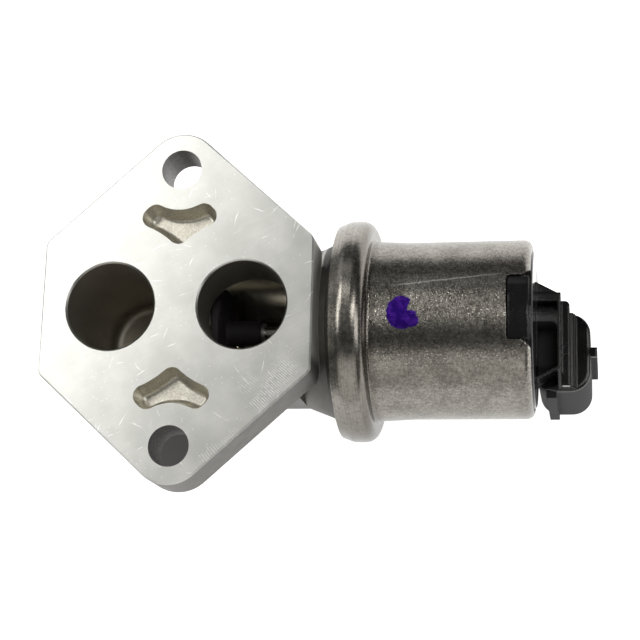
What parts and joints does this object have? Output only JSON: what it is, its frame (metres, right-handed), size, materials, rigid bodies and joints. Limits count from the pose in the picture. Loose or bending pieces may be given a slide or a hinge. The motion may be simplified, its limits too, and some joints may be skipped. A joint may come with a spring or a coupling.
{
  "type": "idle air control valve",
  "caption": "Solenoid idle air valve: cast lozenge flange with air ports and bolt holes, plated steel can with rolled ring, black end cap with socket, and a sprung sliding poppet.",
  "frame": {"origin": "centre of the mounting face, midway between the bolt holes and between the ports", "axes": "+Z out of the mounting face, +X along the solenoid axis towards the socket, +Y from bolt hole to bolt hole"},
  "size_m": [0.1124, 0.0736, 0.0547],
  "materials": {
    "cast_aluminium": "cast, with a machined and scratched mounting face",
    "plated_steel": "dull plating, mottled, with an inspection paint dab",
    "black_plastic": "satin moulded",
    "tinned_brass": "tinned",
    "soft_iron": "turned",
    "bobbin_plastic": "natural moulded",
    "copper": "enamelled wire",
    "spring_steel": "drawn",
    "bright_brass": "turned",
    "rubber": "moulded",
    "bright_steel": "ground",
    "poppet_plastic": "satin moulded"
  },
  "bodies": {
    "housing": {"valve_body": "cast_aluminium", "solenoid_can": "plated_steel", "connector_cap": "black_plastic", "terminal_left": "tinned_brass", "terminal_right": "tinned_brass", "front_plate": "soft_iron", "rear_plate": "soft_iron", "bobbin": "bobbin_plastic", "winding": "copper", "wave_washer": "spring_steel", "guide_sleeve": "bright_brass", "front_bush": "bright_brass", "shaft_seal": "rubber", "fixed_core": "soft_iron", "adjusting_screw": "bright_steel", "body_seal": "rubber", "cap_seal": "rubber", "return_spring": "spring_steel"},
    "plunger": {"valve_shaft": "bright_steel", "valve_poppet": "poppet_plastic", "poppet_clip": "spring_steel", "armature": "soft_iron", "spring_seat": "bright_steel", "shaft_clip": "spring_steel"}
  },
  "joints": [
    {"name": "valve_slide", "type": "slide", "parent": "housing", "child": "plunger", "axis": [1, 0, 0], "range_m": [0, 0.0045], "stiffness_N_per_m": 600, "springref_m": -0.008, "deforming": ["return_spring"]}
  ]
}
